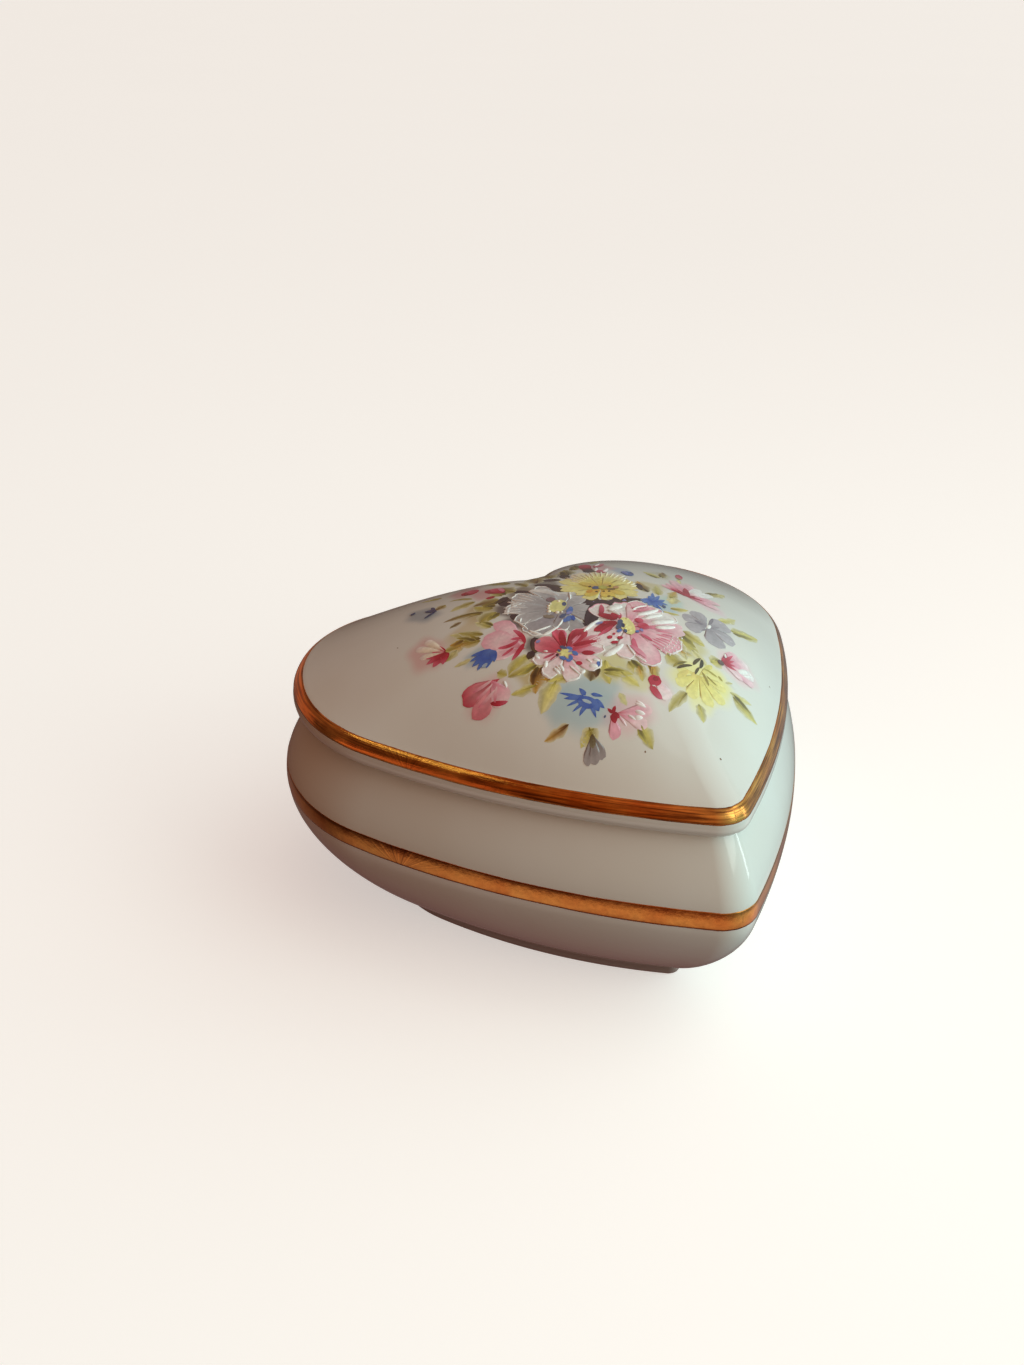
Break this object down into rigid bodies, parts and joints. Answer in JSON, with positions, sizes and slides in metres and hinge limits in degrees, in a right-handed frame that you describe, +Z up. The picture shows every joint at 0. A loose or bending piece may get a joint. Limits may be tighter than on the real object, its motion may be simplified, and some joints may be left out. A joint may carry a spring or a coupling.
{
  "type": "trinket box",
  "caption": "Heart-shaped porcelain trinket box with a domed lift-off lid, gilt bands round the lid and belly, and a spray of flowers on the lid",
  "frame": {"origin": "centre of the box's outline, on the plane of the foot ring's underside", "axes": "+Z up, the way the lid lifts; the heart's point towards -Y and its lobes towards +Y; +X to the right as seen from the point"},
  "size_m": [0.102, 0.0927, 0.0585],
  "materials": {
    "porcelain": "glossy clear glaze over white porcelain",
    "gilding": "burnished bright gold",
    "flower_enamel": "glossy fired enamel colours"
  },
  "bodies": {
    "base": {"base_bowl": "porcelain", "base_gilt_band": "gilding"},
    "lid": {"lid_shell": "porcelain", "lid_gilt_rim": "gilding", "lid_flower_transfer": "flower_enamel"}
  },
  "joints": [
    {"name": "lid_lift", "type": "slide", "parent": "base", "child": "lid", "axis": [0, 0, 1], "range_m": [0, 0.06]}
  ]
}
